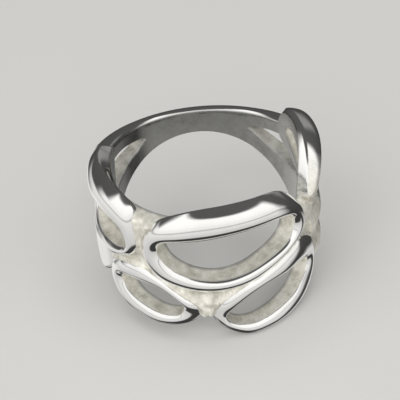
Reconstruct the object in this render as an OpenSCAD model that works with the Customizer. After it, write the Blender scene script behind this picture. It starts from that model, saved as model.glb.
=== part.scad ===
// Openwork finger ring: five oval loops in two rows, wrapped round the front of
// the finger bore, on a flat tapering shank that forks on each side.
// The bore axis is Z. The front centre of the ring is on -Y.
// Angles run round the bore from the front centre, positive towards +X.
// Heights are measured from the middle of the ring's width.

/* [Bore] */
// Inside diameter, the ring size
bore_d = 17.35; // [14:0.05:22]

/* [Shank] */
// Thickness of the shank at the back
shank_t = 1.25; // [0.9:0.05:1.8]
// Thickness of the forked arms where they reach the ovals
arm_t = 1.95; // [1.4:0.05:2.2]
// Height of the shank's upper edge at the back
shank_top = 5.25; // [4.5:0.05:6]
// Width of the shank at the back
shank_w = 2.6; // [2:0.05:3.5]
// Rise of the upper edge 60 degrees from the back
flare_up = 0.8; // [0:0.05:1.2]
// Fall of the lower edge 60 degrees from the back
flare_down = 3.0; // [2:0.05:3.4]
// Angle from the back at which the shank forks
fork_a = 39; // [34:1:44]
// Width of the upper arm
upper_arm_w = 1.6; // [1.2:0.05:1.9]
// Width of the lower arm just past the fork
lower_arm_w = 1.85; // [1.5:0.05:2.2]
// Rounding of the outer edges
edge_r = 0.45; // [0.2:0.05:0.55]
// Bevel on the inner upper edge
bevel = 0.3; // [0.1:0.05:0.4]

/* [Ovals] */
// Thickness at the crest of the upper row
upper_crest_t = 2.25; // [1.8:0.05:2.5]
// Thickness at the crest of the lower row
lower_crest_t = 1.95; // [1.6:0.05:2.3]
// Height of the dome above the oval's side walls
dome_h = 0.6; // [0.3:0.05:0.8]
// Squareness of the ovals, 2 is an ellipse
oval_n = 2.2; // [2:0.05:2.6]
// Stations round each oval
oval_stations = 60; // [40:4:72]

/* [Webs] */
// Thickness of the webs between the ovals
web_t = 1.3; // [1:0.05:1.6]
// Thickness of the bridges at the upper edge
bridge_t = 1.6; // [1.2:0.05:1.8]

/* [Hidden] */

bore_r = bore_d / 2;
past = 0.4;          // how far a blank reaches inside the bore before it is cut
over = 0.15;         // how far a band's space reaches outside its blank
cut_in = 1.5;        // depth of an oval's cutter inside the bore
cut_out = 5;         // reach of an oval's cutter outside the bore
blank_h = 30;        // height of the blank that the shank is cut from
bore_h = 60;         // length of the cylinder that cuts the bore
bore_fn = 256;       // sides of the bore and of the blank
wall_fn = 180;       // sides of a whole turn of web wall
flare_a = 60;        // angle from the back at which the flares are measured
level_top_a = 70;    // angle from the back past which the upper edge is level
level_low_a = 92;    // angle from the back past which the lower edge is level
thick_a = 90;        // angle from the back at which the arms are thickest
gap_h = 0.95;        // height of the fork's slot at its closed end
gap_grow = 1.1;      // how much more open the slot is half way to the ovals
gap_rate = 2.5;      // pace of that opening, degrees of a sine wave to each degree
arm_step = 3;        // degrees between an arm's sections
left_arm_end = 87;   // angles from the back at which the blanks of the arms end
right_arm_end = 60;
lower_arm_end = 114;
silver = [0.86, 0.86, 0.84];
cast_silver = [0.80, 0.79, 0.74];

// Each oval is a hole and an outline: [centre angle, centre height,
// half length in degrees, half height, rise of its right-hand end]
upper_left = [[-76.5, 2.85, 26.5, 1.9, 0], [-75.8, 3.1, 32.8, 4.0, 0]];
upper_centre = [[7, 2.55, 37, 2.6, -0.2], [6.5, 2.95, 47.5, 4.25, -0.2]];
upper_right = [[93.5, 4.9, 18, 1.45, 0.85], [94.5, 5.0, 27, 2.9, 1.1]];
lower_left = [[-41.5, -3.5, 20.5, 1.55, -0.2], [-40.5, -3.75, 31, 2.95, -0.2]];
lower_right = [[31.5, -4.4, 29.5, 2.0, 0.5], [31, -4.6, 40, 3.5, 0.7]];

// Each web fills a stretch of ring wall: [first angle, last angle, low, top]
left_web_place = [-66, -12, -3, 1.5];
centre_web_place = [-12, 12, -5.2, -0.5];
right_web_place = [30, 66, -3, 1];
left_bridge_place = [-60, -26, 1.5, 5];
right_bridge_place = [46, 78, 1, 2.9];

function on_ring(r, a, z) = [r * sin(a), -r * cos(a), z];
function lerp(p, q, s) = p + (q - p) * s;
function soft(v) = sign(v) * pow(abs(v), 2 / oval_n);
function oval_a(o, t) = o[0] + o[2] * soft(cos(t));
function oval_z(o, t) = o[1] + o[3] * soft(sin(t)) + o[4] * soft(cos(t));

// A closed tube of quads between rings of points, each ring n points long
function side_faces(rings, n, closed) = [
    for (i = [0 : rings - (closed ? 1 : 2)], j = [0 : n - 1])
        let (k = (i + 1) % rings, m = (j + 1) % n)
        each [
            [i * n + j, k * n + m, i * n + m],
            [i * n + j, k * n + j, k * n + m]
        ]
];

module cut_to_bore() {
    difference() {
        children();
        cylinder(r = bore_r, h = bore_h, center = true, $fn = bore_fn);
    }
}

// Half-round section of an oval's band: [share of the width, thickness]
dome_steps = 8;
function oval_section(crest_t) = concat(
    [[0, -past]],
    [for (i = [0 : dome_steps])
        let (s = (1 - cos(180 * i / dome_steps)) / 2)
        [s, crest_t - dome_h + dome_h * sin(180 * i / dome_steps)]],
    [[1, -past]]
);

module oval_band(oval, crest_t) {
    section = oval_section(crest_t);
    n = len(section);
    points = [
        for (i = [0 : oval_stations - 1], p = section)
            let (t = 360 * i / oval_stations)
            on_ring(
                bore_r + p[1],
                lerp(oval_a(oval[0], t), oval_a(oval[1], t), p[0]),
                lerp(oval_z(oval[0], t), oval_z(oval[1], t), p[0])
            )
    ];
    cut_to_bore() polyhedron(points, side_faces(oval_stations, n, true));
}

// The whole space inside an oval's outline, which webs and arms stop against
module oval_space(oval) {
    o = oval[1];
    n = oval_stations;
    rims = [
        for (r = [bore_r - cut_in, bore_r + cut_out], i = [0 : n - 1])
            let (t = 360 * i / n)
            on_ring(r, oval_a(o, t), oval_z(o, t))
    ];
    centres = [for (r = [bore_r - cut_in, bore_r + cut_out]) on_ring(r, o[0], o[1])];
    caps = [
        for (i = [0 : n - 1])
            let (k = (i + 1) % n)
            each [[2 * n, i, k], [2 * n + 1, n + k, n + i]]
    ];
    polyhedron(concat(rims, centres), concat(caps, side_faces(2, n, false)));
}

// Upper and lower edges of the shank and arms, by angle from the back
function top_edge(b) = shank_top + flare_up * pow(min(b, level_top_a) / flare_a, 2);
function low_edge(b) = shank_top - shank_w - flare_down * pow(min(b, level_low_a) / flare_a, 2);
function slot_top(b) = top_edge(b) - upper_arm_w;
function slot_low(b) = max(
    low_edge(b) + lower_arm_w,
    slot_top(fork_a) - gap_h - gap_grow * sin(gap_rate * (b - fork_a))
);
function band_t(b) = shank_t + (arm_t - shank_t) * pow(min(b, thick_a) / thick_a, 2);

// Section of the space a band fills between two heights: [thickness, height]
function band_section(t, low, top) = [
    [-past, low],
    [t - edge_r, low],
    [t + over, low + edge_r + over],
    [t + over, top - edge_r - over],
    [t - edge_r, top],
    [bevel, top],
    [-past, top - bevel - past]
];

// The blank of the shank and arms: the wall thickens from the back to the sides
module tapered_wall() {
    difference() {
        translate([0, shank_t - arm_t, 0])
            cylinder(r = bore_r + arm_t, h = blank_h, center = true, $fn = bore_fn);
        cylinder(r = bore_r, h = bore_h, center = true, $fn = bore_fn);
    }
}

// A band from the first row's angle to the last one's, on the side of +X or -X
module band(rows, side) {
    n = len(rows[0][1]);
    points = [
        for (row = rows, p = row[1])
            on_ring(bore_r + p[0], side * (180 - row[0]), p[1])
    ];
    last = (len(rows) - 1) * n;
    faces = concat(
        side_faces(len(rows), n, false),
        [for (j = [1 : n - 2]) [0, j, j + 1]],
        [for (j = [1 : n - 2]) [last, last + j + 1, last + j]]
    );
    intersection() {
        tapered_wall();
        polyhedron(
            points,
            side > 0 ? faces : [for (f = faces) [f[0], f[2], f[1]]]
        );
    }
}

module back_shank() {
    rows = [
        for (b = [-fork_a : arm_step : fork_a])
            [b, band_section(band_t(abs(b)), low_edge(abs(b)), top_edge(abs(b)))]
    ];
    color(silver) band(rows, 1);
}

module upper_arm(side, oval, end) {
    rows = [
        for (b = [fork_a : arm_step : end])
            [b, band_section(band_t(b), slot_top(b), top_edge(b))]
    ];
    color(silver) difference() {
        band(rows, side);
        oval_space(oval);
    }
}

module lower_arm(side, upper_oval, lower_oval) {
    rows = [
        for (b = [fork_a : arm_step : lower_arm_end])
            [b, band_section(band_t(b), low_edge(b), slot_low(b))]
    ];
    color(silver) difference() {
        band(rows, side);
        oval_space(upper_oval);
        oval_space(lower_oval);
    }
}

// A piece of ring wall; its place is [first angle, last angle, low, top]
module wall(place, t) {
    rotate([0, 0, place[0] - 90])
        rotate_extrude(angle = place[1] - place[0], $fn = wall_fn)
            translate([bore_r, place[2]])
                square([t, place[3] - place[2]]);
}

module left_web() {
    color(cast_silver) difference() {
        wall(left_web_place, web_t);
        oval_space(upper_left);
        oval_space(upper_centre);
        oval_space(lower_left);
    }
}

module centre_web() {
    color(cast_silver) difference() {
        wall(centre_web_place, web_t);
        oval_space(upper_centre);
        oval_space(lower_left);
        oval_space(lower_right);
    }
}

module right_web() {
    color(cast_silver) difference() {
        wall(right_web_place, web_t);
        oval_space(upper_centre);
        oval_space(upper_right);
        oval_space(lower_right);
    }
}

module left_bridge() {
    color(cast_silver) difference() {
        wall(left_bridge_place, bridge_t);
        oval_space(upper_left);
        oval_space(upper_centre);
    }
}

module right_bridge() {
    color(cast_silver) difference() {
        wall(right_bridge_place, bridge_t);
        oval_space(upper_centre);
        oval_space(upper_right);
    }
}

module upper_left_oval() {
    color(silver) oval_band(upper_left, upper_crest_t);
}

module upper_centre_oval() {
    color(silver) oval_band(upper_centre, upper_crest_t);
}

module upper_right_oval() {
    color(silver) oval_band(upper_right, upper_crest_t);
}

module lower_left_oval() {
    color(silver) oval_band(lower_left, lower_crest_t);
}

module lower_right_oval() {
    color(silver) oval_band(lower_right, lower_crest_t);
}

back_shank();
upper_arm(-1, upper_left, left_arm_end);  // left_upper_arm
upper_arm(1, upper_right, right_arm_end);  // right_upper_arm
lower_arm(-1, upper_left, lower_left);  // left_lower_arm
lower_arm(1, upper_right, lower_right);  // right_lower_arm
upper_left_oval();
upper_centre_oval();
upper_right_oval();
lower_left_oval();
lower_right_oval();
left_web();
centre_web();
right_web();
left_bridge();
right_bridge();
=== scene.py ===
import math

import bmesh
import bpy
import numpy as np
from mathutils import Matrix, Vector, noise


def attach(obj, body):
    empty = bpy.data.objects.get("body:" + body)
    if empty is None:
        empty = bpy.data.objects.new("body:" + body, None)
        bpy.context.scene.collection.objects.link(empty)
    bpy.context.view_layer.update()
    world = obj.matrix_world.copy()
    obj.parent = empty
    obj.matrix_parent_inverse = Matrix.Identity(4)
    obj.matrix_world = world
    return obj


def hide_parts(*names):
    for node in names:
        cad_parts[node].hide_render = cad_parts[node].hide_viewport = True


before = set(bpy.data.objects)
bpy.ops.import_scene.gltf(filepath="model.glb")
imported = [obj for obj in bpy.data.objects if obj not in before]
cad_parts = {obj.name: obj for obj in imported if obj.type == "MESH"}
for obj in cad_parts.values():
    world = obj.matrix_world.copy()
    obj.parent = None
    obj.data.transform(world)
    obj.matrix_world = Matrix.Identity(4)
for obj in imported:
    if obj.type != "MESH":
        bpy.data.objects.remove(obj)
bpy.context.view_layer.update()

# Lengths are in mm until on_ring() turns them into metres. An angle called a runs
# round the bore from the front centre, positive towards +X. One called b runs from
# the back, the same way on both sides. Both are in degrees.
MM = 0.001
BORE = 8.675            # bore radius
ARC = 0.175             # length of one degree along the wall, at a radius of 10
RIM_ARC = 0.18          # the same at the loops' rims
SPLINE_STEPS = 16       # points between two rows of a loop's table
SHARP_ANGLE = 38        # edges sharper than this aren't smoothed


def on_ring(r, a, z):
    a = math.radians(a)
    return (r * math.sin(a) * MM, -r * math.cos(a) * MM, z * MM)


def unit(v):
    """v held between 0 and 1."""
    return max(0.0, min(1.0, v))


# ------------------------------------------------------------------ splines
def closed_spline(points, n):
    """n samples of a closed cubic through the points, evenly by chord."""
    p = np.array(points, float)
    k = len(p)
    out = []
    for i in range(k):
        p0, p1, p2, p3 = p[i - 1], p[i], p[(i + 1) % k], p[(i + 2) % k]
        for t in np.arange(SPLINE_STEPS) / SPLINE_STEPS:
            out.append(0.5 * (2 * p1 + (p2 - p0) * t + (2 * p0 - 5 * p1 + 4 * p2 - p3) * t**2
                              + (3 * p1 - p0 - 3 * p2 + p3) * t**3))
    out = np.array(out)
    flat = out[:, :4] * [ARC, 1, ARC, 1]
    chord = np.linalg.norm(np.roll(flat, -1, 0) - flat, axis=1)
    s = np.concatenate([[0], np.cumsum(chord)])
    want = np.linspace(0, s[-1], n, endpoint=False)
    ext = np.vstack([out, out[:1]])
    return np.stack([np.interp(want, s, ext[:, c]) for c in range(p.shape[1])], 1)


def curve(pairs, x):
    """Smooth curve through (x, y) pairs, flat beyond its ends."""
    xs, ys = np.array(pairs, float).T
    if x <= xs[0]:
        return float(ys[0])
    if x >= xs[-1]:
        return float(ys[-1])

    def slope(j):
        j0, j1 = max(j - 1, 0), min(j + 1, len(xs) - 1)
        return (ys[j1] - ys[j0]) / (xs[j1] - xs[j0])

    i = int(np.searchsorted(xs, x)) - 1
    h = xs[i + 1] - xs[i]
    t = (x - xs[i]) / h
    return float((2 * t**3 - 3 * t**2 + 1) * ys[i] + (t**3 - 2 * t**2 + t) * h * slope(i)
                 + (3 * t**2 - 2 * t**3) * ys[i + 1] + (t**3 - t**2) * h * slope(i + 1))


# ------------------------------------------------------------------ loops
# Rows round each loop: hole rim angle and height, outer edge angle and height, rim
# radius, outer edge radius, crest radius, and how far the outer edge has moved, in
# angle and height, where its wall reaches the bore.
UC = [
    (43.4, 3.1, 52.5, 3.0, 10.35, 10.2, 10.8, 0, 0),
    (42.5, 3.85, 51.0, 4.3, 10.4, 10.0, 10.8, 0, -0.3),
    (39.8, 4.4, 47.5, 5.4, 10.4, 9.7, 10.8, 0, -0.4),
    (36.0, 4.75, 43.0, 6.25, 10.4, 9.5, 10.8, 0, -0.5),
    (30.5, 5.0, 36.5, 7.0, 10.45, 9.4, 10.78, 0, -0.6),
    (22.0, 5.15, 27.0, 7.45, 10.5, 9.5, 10.8, 0, -0.8),
    (7.0, 5.05, 9.0, 7.6, 10.5, 9.5, 10.8, 0, -0.85),
    (-7.0, 4.75, -8.0, 7.4, 10.5, 9.55, 10.82, 0, -0.85),
    (-18.0, 4.45, -21.0, 6.75, 10.5, 9.6, 10.82, 0, -0.75),
    (-27.0, 4.05, -32.5, 5.7, 10.45, 9.75, 10.82, 0, -0.6),
    (-31.0, 3.2, -39.5, 3.9, 10.4, 10.1, 10.8, 0, 0),
    (-30.5, 2.1, -40.5, 1.8, 10.4, 10.1, 10.8, 0, 0),
    (-24.5, 1.0, -34.5, -0.2, 10.4, 10.05, 10.8, 0, 0),
    (-13.5, 0.2, -20.0, -1.15, 10.4, 10.05, 10.8, 0, 0),
    (0.0, -0.1, -3.0, -1.48, 10.4, 10.05, 10.8, 0, 0),
    (13.0, 0.2, 13.5, -1.2, 10.4, 10.05, 10.8, 0, 0),
    (25.5, 0.9, 28.5, -0.2, 10.4, 10.05, 10.8, 0, 0),
    (36.0, 1.55, 41.5, 0.85, 10.4, 10.05, 10.8, 0, 0),
    (41.2, 2.15, 48.5, 1.55, 10.35, 10.1, 10.8, 0, 0),
    (43.0, 2.6, 51.5, 2.2, 10.35, 10.15, 10.8, 0, 0),
]
LL = [
    (-60.2, -3.15, -71.5, -3.4, 10.15, 10.0, 10.5, 0, 0),
    (-58.2, -3.75, -67.0, -5.0, 10.15, 10.0, 10.5, 0, 0),
    (-52.0, -4.35, -58.0, -6.0, 10.15, 9.95, 10.5, 0, 0.2),
    (-44.0, -4.7, -46.0, -6.3, 10.15, 9.95, 10.5, 0, 0.2),
    (-35.5, -4.98, -34.0, -6.4, 10.15, 9.95, 10.5, 0, 0.2),
    (-28.0, -4.95, -23.0, -6.2, 10.15, 9.6, 10.4, 0, 0.2),
    (-22.5, -4.6, -13.0, -5.5, 10.15, 9.2, 10.3, 0, 0.1),
    (-20.3, -3.9, -9.4, -4.4, 10.15, 9.3, 10.25, 0, 0),
    (-21.5, -3.2, -13.0, -3.2, 10.15, 9.95, 10.5, 0, 0),
    (-25.5, -2.4, -22.0, -1.9, 10.15, 9.95, 10.5, 0, 0),
    (-31.0, -1.8, -31.0, -0.7, 10.15, 9.95, 10.5, 0, 0),
    (-38.0, -1.65, -40.0, 0.0, 10.2, 9.95, 10.55, 0, 0),
    (-46.0, -1.75, -50.0, -0.15, 10.2, 9.95, 10.55, 0, 0),
    (-53.0, -1.95, -61.0, -0.8, 10.2, 9.95, 10.55, 0, 0),
    (-58.7, -2.5, -69.0, -2.0, 10.15, 10.0, 10.5, 0, 0),
]
LR = [
    (59.0, -3.55, 70.0, -3.6, 10.15, 10.0, 10.5, 0, 0),
    (57.3, -2.85, 67.0, -1.7, 10.15, 10.0, 10.5, 0, 0),
    (52.5, -2.4, 59.5, -0.3, 10.2, 10.0, 10.6, 0, 0),
    (45.0, -2.15, 50.0, 0.6, 10.2, 10.0, 10.6, 0, 0),
    (37.0, -2.15, 41.0, 0.2, 10.2, 9.95, 10.55, 0, 0),
    (29.0, -2.1, 31.0, -0.4, 10.2, 9.95, 10.5, 0, 0),
    (21.0, -2.3, 21.0, -0.95, 10.15, 9.95, 10.5, 0, 0),
    (13.0, -3.0, 11.0, -1.6, 10.15, 9.95, 10.5, 0, 0),
    (6.5, -3.9, -0.5, -3.0, 10.15, 9.95, 10.5, 0, 0),
    (2.3, -4.7, -6.0, -4.4, 10.15, 9.3, 10.25, 0, 0),
    (3.5, -5.5, -4.6, -5.7, 10.15, 9.2, 10.3, 0, 0.1),
    (9.0, -6.15, 3.0, -6.9, 10.15, 9.5, 10.35, 0, 0.2),
    (16.5, -6.4, 12.5, -7.6, 10.15, 9.95, 10.5, 0, 0.2),
    (25.5, -6.3, 25.0, -7.85, 10.15, 9.95, 10.5, 0, 0.2),
    (35.5, -5.95, 38.0, -7.8, 10.15, 9.95, 10.5, 0, 0.2),
    (45.0, -5.55, 51.0, -7.4, 10.15, 9.95, 10.5, 0, 0.2),
    (53.0, -4.8, 62.0, -6.5, 10.15, 10.0, 10.5, 0, 0.1),
    (57.5, -4.2, 68.0, -5.2, 10.15, 10.0, 10.5, 0, 0),
]
UL = [
    (-50.3, 2.6, -43.5, 2.8, 10.4, 10.1, 10.8, 0, 0),
    (-51.2, 3.4, -44.5, 4.6, 10.45, 10.1, 10.85, 0, -0.3),
    (-54.5, 4.0, -47.5, 6.15, 10.5, 9.7, 10.86, 0, -1.0),
    (-60.5, 4.35, -56.0, 6.9, 10.5, 9.55, 10.86, 0, -1.4),
    (-69.0, 4.5, -68.0, 7.05, 10.5, 9.5, 10.86, 0, -1.35),
    (-79.0, 4.4, -80.0, 7.0, 10.5, 9.5, 10.86, 0, -1.1),
    (-88.0, 4.2, -91.0, 7.05, 10.5, 9.8, 10.85, 0, -0.8),
    (-94.5, 3.9, -101.0, 6.95, 10.45, 9.8, 10.85, 0, -0.6),
    (-99.0, 3.3, -110.0, 6.3, 10.4, 9.8, 10.8, 0, -0.2),
    (-100.5, 2.5, -114.0, 4.2, 10.4, 10.0, 10.75, 6, 0.1),
    (-99.5, 1.6, -110.5, 1.4, 10.4, 10.1, 10.75, 6, 0),
    (-95.0, 0.8, -101.0, -0.4, 10.4, 10.1, 10.75, 3, 0.2),
    (-87.0, 0.3, -89.0, -1.35, 10.4, 10.05, 10.75, 0, 0.3),
    (-79.0, 0.4, -79.0, -1.25, 10.4, 10.05, 10.75, 0, 0.2),
    (-70.0, 0.75, -70.0, -0.85, 10.4, 10.05, 10.75, 0, 0),
    (-61.0, 1.0, -60.0, -0.2, 10.4, 10.05, 10.75, 0, 0),
    (-54.0, 1.45, -51.0, 0.65, 10.4, 10.05, 10.75, 0, 0),
    (-51.0, 2.0, -45.5, 1.5, 10.4, 10.05, 10.8, 0, 0),
]
UR = [
    (111.5, 5.7, 122.5, 6.0, 10.4, 10.0, 10.8, -3, -0.1),
    (110.0, 6.15, 118.0, 7.25, 10.4, 9.6, 10.75, -2, -0.2),
    (105.0, 6.4, 110.5, 7.95, 10.45, 9.3, 10.75, 0, -0.3),
    (99.0, 6.3, 101.0, 8.05, 10.45, 9.3, 10.75, 0, -0.3),
    (92.0, 5.95, 92.0, 7.85, 10.45, 9.3, 10.75, 0, -0.3),
    (86.0, 5.5, 82.0, 7.1, 10.4, 9.4, 10.72, 0, -0.4),
    (80.0, 5.0, 73.0, 5.9, 10.35, 9.6, 10.7, 1, -0.4),
    (76.5, 4.4, 66.5, 4.55, 10.3, 9.8, 10.65, 3, -0.3),
    (75.5, 3.9, 64.0, 3.35, 10.3, 10.0, 10.6, 3, -0.1),
    (78.0, 3.55, 68.5, 2.4, 10.2, 10.0, 10.45, 0, 0.2),
    (83.0, 3.45, 78.0, 2.1, 10.25, 10.0, 10.5, 0, 0.5),
    (90.0, 3.4, 89.0, 2.0, 10.3, 10.1, 10.65, 0, 0.8),
    (97.0, 3.6, 99.0, 2.3, 10.35, 10.15, 10.75, 0, 0.7),
    (103.5, 4.1, 109.0, 3.1, 10.4, 10.15, 10.8, 0, 0.4),
    (108.0, 4.7, 117.0, 4.1, 10.4, 10.15, 10.8, -1, 0.1),
    (111.0, 5.2, 121.5, 5.0, 10.4, 10.1, 10.8, -2, 0),
]
LOOPS = {
    "upper_left_oval": UL, "upper_centre_oval": UC, "upper_right_oval": UR,
    "lower_left_oval": LL, "lower_right_oval": LR,
}
STATIONS = 260          # sections round each loop
HOLE_STEPS = 4          # steps up the hole wall
DOME_STEPS = 22         # steps over the crest
OUTER_STEPS = 8         # steps down the outer wall
RIM_DROP = 0.1          # the hole wall ends this far under the rim
EDGE_DROP = 0.06        # the outer wall starts this far under the edge
EDGE_INSET = 0.12       # the crest starts and ends a quarter of this inside the edges
DULL_AND_SHADE_DEPTH = 0.12       # the dull inside, darkened with painted shade, ends this far outside the bore
DULL_AND_SHADE_FADE = 0.1         # width over which it fades
RINGS = {name: closed_spline(rows, STATIONS) for name, rows in LOOPS.items()}


def set_attribute(mesh, name, values):
    at = mesh.attributes.new(name, "FLOAT", "POINT")
    at.data.foreach_set("value", np.array(values, np.float32))


def tube(name, rows, closed, cast=None):
    """A closed skin over rows of section points, with end caps if it is open.

    cast says how far each point is left as cast, from 0, polished, to 1.
    """
    n, m = len(rows[0]), len(rows)
    verts = [p for r in rows for p in r]
    faces = []
    for i in range(m if closed else m - 1):
        k = (i + 1) % m
        for j in range(n):
            q = (j + 1) % n
            faces.append((i * n + j, k * n + j, k * n + q, i * n + q))
    if not closed:
        faces.append(tuple(range(n))[::-1])
        faces.append(tuple(range((m - 1) * n, m * n)))
    mesh = bpy.data.meshes.new(name)
    mesh.from_pydata(verts, [], faces)
    mesh.update()
    bm = bmesh.new()
    bm.from_mesh(mesh)
    bmesh.ops.recalc_face_normals(bm, faces=bm.faces)
    if sum(f.calc_area() * f.normal.dot(f.calc_center_median()) for f in bm.faces) < 0:
        bmesh.ops.reverse_faces(bm, faces=bm.faces)
    bmesh.ops.triangulate(bm, faces=[f for f in bm.faces if len(f.verts) > 4])
    bm.to_mesh(mesh)
    bm.free()
    for p in mesh.polygons:
        p.use_smooth = True
    mesh.set_sharp_from_angle(angle=math.radians(SHARP_ANGLE))
    if cast is not None:
        set_attribute(mesh, "cast", [c for r in cast for c in r])
    co = np.array(verts)
    rad = np.hypot(co[:, 0], co[:, 1]) / MM
    # The bore attribute marks the inside, which is made duller and darkened with painted shade.
    set_attribute(mesh, "bore", np.clip((BORE + DULL_AND_SHADE_DEPTH - rad) / DULL_AND_SHADE_FADE, 0, 1))
    obj = bpy.data.objects.new(name, mesh)
    bpy.context.scene.collection.objects.link(obj)
    return obj


def crest_cast(name, a_hole, s):
    """Only the near end of the upper right loop's crest is left as cast."""
    if name != "upper_right_oval":
        return 0.0
    return 0.85 * unit((84 - a_hole) / 8) * min(1.0, 2.2 * s)


def loop_piece(name):
    rows, cast = [], []
    for aH, zH, aO, zO, rH, rO, rC, da, dz in RINGS[name]:
        pts, cs = [], []
        for k in range(HOLE_STEPS):         # hole wall, bore to rim
            pts.append((BORE + (rH - RIM_DROP - BORE) * (k / HOLE_STEPS), aH, zH))
            cs.append(1.0)
        pts.append((rH - RIM_DROP, aH, zH))
        cs.append(0.9)
        width = math.hypot((aO - aH) * RIM_ARC, zO - zH)
        e = min(EDGE_INSET / width, 0.2)
        rise = rC - (rH + rO) / 2
        for k in range(DOME_STEPS + 1):     # crest, rim to edge
            s = (1 - math.cos(math.pi * k / DOME_STEPS)) / 2
            s = e * 0.25 + s * (1 - e * 0.5)
            lift = 1 - abs(2 * s - 1) ** 2.3
            r = rH + (rO - rH) * s + rise * lift
            pts.append((r, aH + (aO - aH) * s, zH + (zO - zH) * s))
            cs.append(crest_cast(name, aH, s))
        polish = unit((zO - 4.5) / 1.0)     # the wall is polished along the ring's top
        for k in range(OUTER_STEPS + 1):    # outer wall, edge to bore
            s = k / OUTER_STEPS
            r = rO - EDGE_DROP + (BORE - rO + EDGE_DROP) * s
            pts.append((r, aO + da * s, zO + dz * s ** 1.35))
            cs.append((0.25 + 0.5 * s) * (1 - polish))
        rows.append([on_ring(*p) for p in pts])
        cast.append(cs)
    return tube(name + "_silver", rows, True, cast)


# ------------------------------------------------------------------ shank and arms
FORK = 35               # b at which the shank forks
BAND_STEP = 1.25        # degrees between a band's sections
ROUND_STEPS = 8         # steps round a band's outer corner
FACE_STEPS = 10         # steps up a band's outer face
BORE_STEPS = 8          # steps down a band's inner face

SLOT_TOP = [(35, 3.66), (37, 3.86), (40, 3.98), (45, 4.12), (53, 4.35), (62, 4.58),
            (72, 4.78), (90, 4.9)]
LEFT_ARM_TOP = [(35, 3.62), (37, 3.45), (40, 3.2), (43, 2.85), (51, 2.5), (60, 1.9),
                (67, 1.6), (72, 1.3), (77, 0.7), (83, 0.2), (92, 0.0), (103, 0.0), (114, 0.3)]
LEFT_ARM_LOW = [(35, 1.63), (39, 1.38), (50, 0.55), (60, -0.35), (70, -1.43), (80, -2.7),
                (90, -3.85), (96, -4.3), (102, -4.2), (108, -3.4), (114, -2.4)]
RIGHT_ARM_TOP = [(35, 3.62), (38, 3.4), (41, 3.1), (49, 2.5), (58, 2.1), (69, 2.0), (76, 2.1),
                 (83, 2.4), (87, 2.6), (94, 2.3), (104, 2.1), (110, 2.2), (116, 1.4)]
RIGHT_ARM_LOW = [(35, 1.63), (39, 1.38), (50, 0.55), (60, -0.35), (70, -1.43), (80, -2.7),
                 (90, -3.9), (98, -4.4), (105, -4.5), (111, -4.3), (116, -3.8)]
ARM_T = [(35, 1.36), (60, 1.6), (75, 1.85), (88, 2.05), (100, 1.95), (108, 1.75), (116, 1.5)]


def top_edge(b):
    return 5.25 + 0.8 * (min(b, 70) / 60) ** 2


def low_edge(b):
    return 2.65 - 3.0 * (min(b, 92) / 60) ** 2


def slot_top(b):
    return curve(SLOT_TOP, b)


def band_t(b):
    return 1.25 + 0.7 * (min(b, 90) / 90) ** 2


def band_points(t, low, top, round_low, round_top, bevel_low, bevel_top, crown):
    """Section of a band, as (radius, height), from its lower outer corner round."""
    pts = []
    er = round_low
    for k in range(ROUND_STEPS + 1):
        q = math.radians(90 * k / ROUND_STEPS)
        pts.append((t - er + er * math.sin(q), low + er - er * math.cos(q)))
    a0, a1 = low + er, top - round_top
    for k in range(1, FACE_STEPS):
        s = k / FACE_STEPS
        pts.append((t + crown * (1 - (2 * s - 1) ** 2), a0 + (a1 - a0) * s))
    wide = min(round_top * 1.3, t - bevel_top - 0.1) if round_top > 0.45 else round_top
    er = round_top
    for k in range(ROUND_STEPS + 1):
        q = math.radians(90 * k / ROUND_STEPS)
        pts.append((t - wide + wide * math.cos(q), top - er + er * math.sin(q)))
    pts.append((bevel_top * 1.05, top))
    pts.append((bevel_top * 0.55, top - bevel_top * 0.4))
    pts.append((bevel_top * 0.15, top - bevel_top * 0.88))
    pts.append((0, top - bevel_top * 1.15))
    for k in range(1, BORE_STEPS):
        s = k / BORE_STEPS
        pts.append((0, top - bevel_top * 1.15 + (low + bevel_low - top + bevel_top * 1.15) * s))
    pts.append((0, low + bevel_low))
    pts.append((bevel_low, low))
    return [(BORE + p, z) for p, z in pts]


def band_piece(name, side, rows):
    """A band on the side of +X or -X; rows hold b and its section."""
    rings = [[on_ring(r, side * (180 - b), z) for r, z in sec] for b, sec in rows]
    return tube(name, rings, False)


def shank_rows(b0, b1, low, top, round_low, bevel_low):
    """Sections of the shank, or of an upper arm that starts with the shank's own."""
    out = []
    n = max(2, int(round((b1 - b0) / BAND_STEP)))
    for i in range(n + 1):
        b = b0 + (b1 - b0) * i / n
        c = abs(b)
        round_top = curve([(0, 0.72), (35, 0.68), (50, 0.55), (70, 0.45)], c)
        bevel_top = curve([(0, 0.2), (40, 0.22), (75, 0.3)], c)
        lower = round_low if b0 < 0 else 0.03 + (round_low - 0.03) * unit((c - b0) / 6)
        out.append((b, band_points(
            band_t(c), low(c), top(c), lower, round_top, bevel_low, bevel_top, 0.0)))
    return out


def arm_rows(b1, step, low, top, swell=None):
    """Sections of a lower arm, which starts with the shank's own."""
    out = []
    n = int((b1 - FORK) / step)
    for i in range(n + 1):
        b = FORK + (b1 - FORK) * i / n
        crown = 0.06 * unit((b - FORK) / 12)
        round_top = 0.03 + 0.19 * unit((b - FORK) / 6)
        sec = band_points(
            curve(ARM_T, b), curve(low, b), curve(top, b), 0.4, round_top, 0.08, 0.06, crown)
        if swell:
            sec = [(r + swell(b, z) * unit((r - BORE - 0.9) / 0.6), z) for r, z in sec]
        out.append((b, sec))
    return out


def right_front(b, z):
    """Recess, horn, notch and knob where the right arm's front end becomes the web."""
    k = unit((b - 88) / 8)
    h = -0.5 / (1 + math.exp(-(z - 0.75) * 7))
    h += 0.1 * math.exp(-((z + 0.1) / 0.35) ** 2) - 0.38 * math.exp(-((z + 1.95) / 0.75) ** 2)
    h += 0.1 * math.exp(-((z + 3.7) / 0.6) ** 2)
    return k * h


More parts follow.
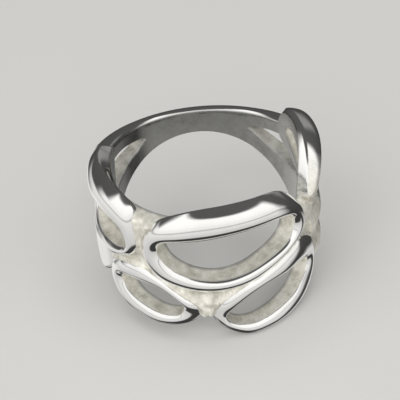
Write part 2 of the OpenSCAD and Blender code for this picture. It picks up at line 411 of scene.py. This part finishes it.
def arm_piece(tag, side, rows, front):
    """A lower arm: its slot face, and the part past the front angle, are left as cast."""
    obj = band_piece(tag + "_lower_arm_silver", side, rows)
    cast = []
    for b, sec in rows:
        top = max(z for r, z in sec)
        f = unit((b - front) / 6)
        cast += [max(f, 1.0 if z > top - 0.07 else 0.0) for r, z in sec]
    set_attribute(obj.data, "cast", cast)
    return obj


pieces = {}
for name in LOOPS:
    pieces[name] = loop_piece(name)
pieces["back_shank"] = band_piece(
    "back_shank_silver", 1, shank_rows(-FORK, FORK, low_edge, top_edge, 0.4, 0.08))
for side, tag, end in ((-1, "left", 80), (1, "right", 64)):
    pieces[tag + "_upper_arm"] = band_piece(
        tag + "_upper_arm_silver", side, shank_rows(FORK, end, slot_top, top_edge, 0.25, 0.05))
# The left arm's front angle is past its end, so only its slot face is left as cast.
pieces["left_lower_arm"] = arm_piece(
    "left", -1, arm_rows(114, BAND_STEP, LEFT_ARM_LOW, LEFT_ARM_TOP), 130)
pieces["right_lower_arm"] = arm_piece(
    "right", 1, arm_rows(116, 1.0, RIGHT_ARM_LOW, RIGHT_ARM_TOP, right_front), 92)


# ------------------------------------------------------------------ webs and bridges
WEB_R = 9.95            # outer radius of the webs, away from the loops
FILLET = 0.35           # rise of a web where it meets a loop
FILLET_REACH = 0.55     # distance from the loop at which the rise starts
WEB_STEPS = 26          # steps across a web's outer face
WEB_BACK_STEPS = 6      # steps across its inner face
OUTLINES = {n: np.stack([r[:, 2] * ARC, r[:, 3]], 1) for n, r in RINGS.items()}
MIDDLES = {
    n: np.stack([(r[:, 0] + r[:, 2]) / 2, (r[:, 1] + r[:, 3]) / 2], 1)
    for n, r in RINGS.items()
}


def outline_distance(a, z):
    """Distance along the wall to the nearest loop's outline."""
    p = np.array([a * ARC, z])
    best = 9.0
    for o in OUTLINES.values():
        q = np.roll(o, -1, 0)
        d = q - o
        t = np.clip(((p - o) * d).sum(1) / (d * d).sum(1), 0, 1)
        best = min(best, float(np.linalg.norm(p - o - d * t[:, None], axis=1).min()))
    return best


def web_r(a, z, base):
    fillet = FILLET * max(0.0, 1 - outline_distance(a, z) / FILLET_REACH) ** 2
    p = Vector((a * ARC, z, 3.1))
    rough = 0.07 * noise.noise(p * 1.7) + 0.03 * noise.noise(p * 5.3)
    return base + fillet + rough


def web_piece(name, us, lo, hi, base, along="a", shape=None):
    """A slab of wall between two curves; us run along it, lo(u) to hi(u) across."""
    rows, cast = [], []
    for u in us:
        low, high = lo(u), hi(u)
        pts = []
        for k in range(WEB_STEPS + 1):
            v = low + (high - low) * k / WEB_STEPS
            a, z = (u, v) if along == "a" else (v, u)
            r = web_r(a, z, base)
            pts.append((shape(a, z, r) if shape else r, a, z))
        for k in range(WEB_BACK_STEPS + 1):
            v = high + (low - high) * k / WEB_BACK_STEPS
            a, z = (u, v) if along == "a" else (v, u)
            pts.append((BORE, a, z))
        rows.append([on_ring(*p) for p in pts])
        cast.append([1.0] * len(pts))
    return tube(name, rows, False, cast)


def middle(name, value, axis, far):
    """The height at which a loop's middle line has an angle, or the angle for a height.

    axis is 0 for a given angle and 1 for a given height. The line passes each value
    twice: far picks the greater result, and otherwise it is the smaller.
    """
    mid = MIDDLES[name]
    hits = []
    for p, q in zip(mid, np.roll(mid, -1, 0)):
        if (p[axis] - value) * (q[axis] - value) <= 0 and p[axis] != q[axis]:
            hits.append(p[1 - axis] + (q[1 - axis] - p[1 - axis]) * (value - p[axis])
                        / (q[axis] - p[axis]))
    if not hits:
        return float(mid[np.abs(mid[:, axis] - value).argmin(), 1 - axis])
    return max(hits) if far else min(hits)


def height_at(name, a, upper):
    return middle(name, a, 0, upper)


def angle_at(name, z, right):
    return middle(name, z, 1, right)


def bead(a, z, a0, z0, size, height):
    d2 = ((a - a0) * ARC) ** 2 + (z - z0) ** 2
    return height * math.exp(-d2 / size ** 2)


def rounded_end(z, r, z0, length):
    """A bridge's radius, falling to the bore over a length from z0 up."""
    return BORE + (r - BORE) * math.sqrt(max(0, 1 - max(0, (z - z0) / length) ** 2))


def left_web_top(a):
    if a < -49.5:
        return height_at("upper_left_oval", a, False)
    if a > -37:
        return height_at("upper_centre_oval", a, False)
    return 1.6


def centre_web_low(a):
    if a < -2:
        return -4.6
    return max(-4.6, height_at("lower_right_oval", max(a, 0.5), True))


def right_web_top(a):
    top = height_at("upper_centre_oval", a, False) if a < 50 else 1.0
    return max(top, height_at("lower_right_oval", a, True) + 0.2)


pieces["left_web"] = web_piece(
    "left_web_cast", np.linspace(-66, -12, 70),
    lambda a: height_at("lower_left_oval", a, True), left_web_top, WEB_R)
pieces["left_bridge"] = web_piece(
    "left_bridge_cast", np.linspace(1.6, 5.7, 30),
    lambda z: angle_at("upper_left_oval", z, True),
    lambda z: angle_at("upper_centre_oval", z, False), 10.0, along="z",
    shape=lambda a, z, r: rounded_end(z, r + bead(a, z, -37.5, 5.2, 0.3, 0.35), 5.1, 0.62))
pieces["centre_web"] = web_piece(
    "centre_web_cast", np.linspace(-12, 12, 30), centre_web_low,
    lambda a: height_at("upper_centre_oval", a, False), WEB_R,
    shape=lambda a, z, r: r + bead(a, z, -7.0, -3.0, 0.45, 0.4))
pieces["right_web"] = web_piece(
    "right_web_cast", np.linspace(11, 64, 60),
    lambda a: height_at("lower_right_oval", a, True), right_web_top, WEB_R)
pieces["right_bridge"] = web_piece(
    "right_bridge_cast", np.linspace(1.0, 2.9, 16),
    lambda z: angle_at("upper_centre_oval", z, True),
    lambda z: max(angle_at("upper_right_oval", z, False), 66), 10.1, along="z",
    shape=lambda a, z, r: rounded_end(z, r, 2.4, 0.52))


# ------------------------------------------------------------------ materials
def silver(name):
    """Silver that goes from polished to cast, and to a dull inside whose darker colour is
    painted shade, by attribute.
    """
    mat = bpy.data.materials.new(name)
    mat.use_nodes = True
    nt = mat.node_tree
    nt.nodes.clear()
    link = nt.links.new

    def node(kind, **settings):
        n = nt.nodes.new(kind)
        for k, v in settings.items():
            setattr(n, k, v)
        return n

    def attribute(attribute_name):
        n = node("ShaderNodeAttribute", attribute_name=attribute_name, attribute_type="GEOMETRY")
        return n.outputs["Fac"]

    def noise_texture(scale, detail, roughness):
        n = node("ShaderNodeTexNoise")
        for k, v in (("Scale", scale), ("Detail", detail), ("Roughness", roughness)):
            n.inputs[k].default_value = v
        link(coordinates.outputs["Object"], n.inputs["Vector"])
        return n.outputs[0]

    def colour_ramp(src, p0, c0, p1, c1):
        n = node("ShaderNodeValToRGB")
        for element, p, c in zip(n.color_ramp.elements, (p0, p1), (c0, c1)):
            element.position = p
            element.color = c + (1,)
        link(src, n.inputs[0])
        return n.outputs[0]

    def map_range(src, *limits):
        n = node("ShaderNodeMapRange")
        for k, v in zip(("From Min", "From Max", "To Min", "To Max"), limits):
            n.inputs[k].default_value = v
        link(src, n.inputs["Value"])
        return n.outputs[0]

    def mix_colour(fac, c1, c2):
        n = node("ShaderNodeMix", data_type="RGBA")
        for k, v in ((0, fac), (6, c1), (7, c2)):
            link(v, n.inputs[k])
        return n.outputs[2]

    def mix_value(fac, v1, v2):
        n = node("ShaderNodeMix")
        for k, v in ((0, fac), (2, v1), (3, v2)):
            link(v, n.inputs[k])
        return n.outputs[0]

    coordinates = node("ShaderNodeTexCoord")
    cast = attribute("cast")
    inside = attribute("bore")
    broad = noise_texture(420, 3, 0.5)
    grain = noise_texture(900, 5, 0.65)

    polish_colour = colour_ramp(broad, 0.3, (0.90, 0.90, 0.89), 0.7, (0.97, 0.97, 0.965))
    cast_colour = colour_ramp(grain, 0.32, (0.56, 0.535, 0.45), 0.62, (0.96, 0.94, 0.86))
    # The inside's darker colour is painted shade, standing for the dark that the bore reflects.
    bore_painted_shade_colour = colour_ramp(grain, 0.3, (0.27, 0.27, 0.26), 0.7, (0.40, 0.40, 0.39))
    polish_rough = map_range(broad, 0.3, 0.75, 0.05, 0.13)
    cast_rough = map_range(grain, 0.3, 0.7, 0.5, 0.28)
    inside_rough = map_range(grain, 0.3, 0.7, 0.24, 0.36)
    colour = mix_colour(inside, mix_colour(cast, polish_colour, cast_colour), bore_painted_shade_colour)
    rough = mix_value(inside, mix_value(cast, polish_rough, cast_rough), inside_rough)

    bump = node("ShaderNodeBump")
    bump.inputs["Distance"].default_value = 0.00012
    link(map_range(cast, 0, 1, 0.03, 0.6), bump.inputs["Strength"])
    link(grain, bump.inputs["Height"])

    shader = node("ShaderNodeBsdfPrincipled")
    link(colour, shader.inputs["Base Color"])
    link(rough, shader.inputs["Roughness"])
    link(map_range(cast, 0, 1, 1.0, 0.45), shader.inputs["Metallic"])
    link(bump.outputs[0], shader.inputs["Normal"])
    link(shader.outputs[0], node("ShaderNodeOutputMaterial").inputs[0])
    return mat


silver_material = silver("polished_silver")
for node_name, piece in pieces.items():
    piece.data.materials.append(silver_material)
    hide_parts(node_name)
    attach(piece, "root")

# ------------------------------------------------------------------ stage
FLOOR_HALF = 1.2        # half the floor's side, m
floor_z = min(v.co.z for piece in pieces.values() for v in piece.data.vertices)
corners = ((-1, -1), (1, -1), (1, 1), (-1, 1))
mesh = bpy.data.meshes.new("floor")
mesh.from_pydata(
    [(x * FLOOR_HALF, y * FLOOR_HALF, floor_z) for x, y in corners], [], [(0, 1, 2, 3)])
floor = bpy.data.objects.new("floor", mesh)
bpy.context.scene.collection.objects.link(floor)
floor_material = bpy.data.materials.new("floor")
floor_material.use_nodes = True
floor_shader = floor_material.node_tree.nodes["Principled BSDF"]
floor_shader.inputs["Base Color"].default_value = (0.66, 0.655, 0.64, 1)
floor_shader.inputs["Roughness"].default_value = 0.7
floor.data.materials.append(floor_material)
floor.visible_glossy = False

world = bpy.data.worlds.new("studio")
bpy.context.scene.world = world
world.use_nodes = True
wt = world.node_tree
background = wt.nodes["Background"]


def world_math(op, x, y=None):
    n = wt.nodes.new("ShaderNodeMath")
    n.operation = op
    for k, v in enumerate((x, y)):
        if isinstance(v, (int, float)):
            n.inputs[k].default_value = v
        elif v is not None:
            wt.links.new(v, n.inputs[k])
    return n.outputs[0]


def smooth_step(x, a, b):
    """0 at a, 1 at b, and smooth between them."""
    n = wt.nodes.new("ShaderNodeMapRange")
    n.interpolation_type = "SMOOTHSTEP"
    for k, v in zip(("From Min", "From Max", "To Min", "To Max"), (a, b, 0, 1)):
        n.inputs[k].default_value = v
    wt.links.new(x, n.inputs["Value"])
    return n.outputs[0]


def window(v, v0, v1, soft):
    """1 between two limits, with soft ends."""
    return world_math(
        "MULTIPLY", smooth_step(v, v0 - soft, v0 + soft), smooth_step(v, v1 + soft, v1 - soft))


# Panels of light, in degrees round from the front, positive to the right, and up.
PANELS = (              # az0, az1, el0, el1, softness of each, power
    (-102, 84, 22, 54, 10, 4, 1.0),      # front and both sides, high
    (-118, 84, 4, 22, 12, 4, 0.96),      # front and both sides, just above the level
    (-138, 76, -26, 1.5, 12, 4, 0.95),   # the same and further round on the left, below it
    (-122, 76, -49, -26, 8, 4, 0.95),    # front and both sides, low
    (-172, -122, -48, -26, 8, 4, 1.25),  # low, behind on the left
    (-150, -110, -78, -53, 8, 5, 1.1),   # lower still, behind on the left
    (112, 150, -75, -36, 8, 6, 1.0),     # low, behind on the right
    (125, 165, 12, 44, 10, 8, 0.2),      # faint, behind on the right
)
# The panels' brightness at the bottom and what is added towards the top, and the same
# for the even light between them.
LOW_LIGHT, HIGH_LIGHT = 0.58, 0.42
LOW_HAZE, HIGH_HAZE = 0.045, 0.05

coordinates = wt.nodes.new("ShaderNodeTexCoord")
direction = wt.nodes.new("ShaderNodeSeparateXYZ")
wt.links.new(coordinates.outputs["Generated"], direction.inputs[0])
x, y, z = direction.outputs
azimuth = world_math("DEGREES", world_math("ARCTAN2", x, world_math("MULTIPLY", y, -1.0)))
elevation = world_math("DEGREES", world_math("ARCSINE", z))
total = 0.0
for az0, az1, el0, el1, soft_az, soft_el, power in PANELS:
    panel = world_math(
        "MULTIPLY", window(azimuth, az0, az1, soft_az), window(elevation, el0, el1, soft_el))
    total = world_math("ADD", world_math("MULTIPLY", panel, power), total)
fade = world_math(
    "ADD", world_math("MULTIPLY", smooth_step(elevation, -60, 55), HIGH_LIGHT), LOW_LIGHT)
haze = world_math(
    "ADD", world_math("MULTIPLY", smooth_step(elevation, -50, 60), HIGH_HAZE), LOW_HAZE)
total = world_math("ADD", world_math("MULTIPLY", total, fade), haze)
background.inputs[0].default_value = (1.0, 0.99, 0.97, 1)
wt.links.new(total, background.inputs[1])


def area(name, az, el, dist, size, power):
    """A soft light aimed at the ring, which its polished faces don't mirror."""
    light = bpy.data.lights.new(name, "AREA")
    light.shape = "RECTANGLE"
    light.size, light.size_y = size
    light.energy = power
    a, e = math.radians(az), math.radians(el)
    pos = Vector((math.sin(a) * math.cos(e), -math.cos(a) * math.cos(e), math.sin(e))) * dist
    obj = bpy.data.objects.new(name, light)
    obj.location = pos
    obj.rotation_euler = (-pos).to_track_quat("-Z", "Y").to_euler()
    obj.visible_glossy = False
    bpy.context.scene.collection.objects.link(obj)


area("front", -20, 40, 0.5, (0.5, 0.4), 0.9)
area("overhead", 0, 88, 0.6, (0.7, 0.7), 2.1)

# ------------------------------------------------------------------ camera
# The camera fitted to the photograph, placed from a point on the bore's axis, in mm.
YAW, ELEVATION, ROLL = -4.0, 38.571, -4.088         # degrees
AIM = (0, 0, 5.2)
OFF_RIGHT, OFF_UP, DISTANCE = -0.4126, -3.3798, 119.79
FOCAL_PX, IMAGE_PX, SENSOR = 1293.3, 400, 36


def camera():
    yaw, el, roll = math.radians(YAW), math.radians(ELEVATION), math.radians(ROLL)
    level = Vector((math.cos(yaw), math.sin(yaw), 0))
    back = Vector((math.sin(yaw) * math.cos(el), -math.cos(yaw) * math.cos(el), math.sin(el)))
    rise = back.cross(level)
    right = math.cos(roll) * level + math.sin(roll) * rise
    up = -math.sin(roll) * level + math.cos(roll) * rise
    pos = (right * OFF_RIGHT + up * OFF_UP + back * DISTANCE) + Vector(AIM)
    cam = bpy.data.cameras.new("camera")
    cam.lens = FOCAL_PX / IMAGE_PX * SENSOR
    cam.sensor_width = SENSOR
    cam.clip_start = 0.005
    cam.clip_end = 10
    obj = bpy.data.objects.new("camera", cam)
    obj.matrix_world = Matrix((
        (right.x, up.x, back.x, pos.x * MM), (right.y, up.y, back.y, pos.y * MM),
        (right.z, up.z, back.z, pos.z * MM), (0, 0, 0, 1)))
    bpy.context.scene.collection.objects.link(obj)
    bpy.context.scene.camera = obj


camera()
bpy.context.scene.view_settings.view_transform = "Standard"
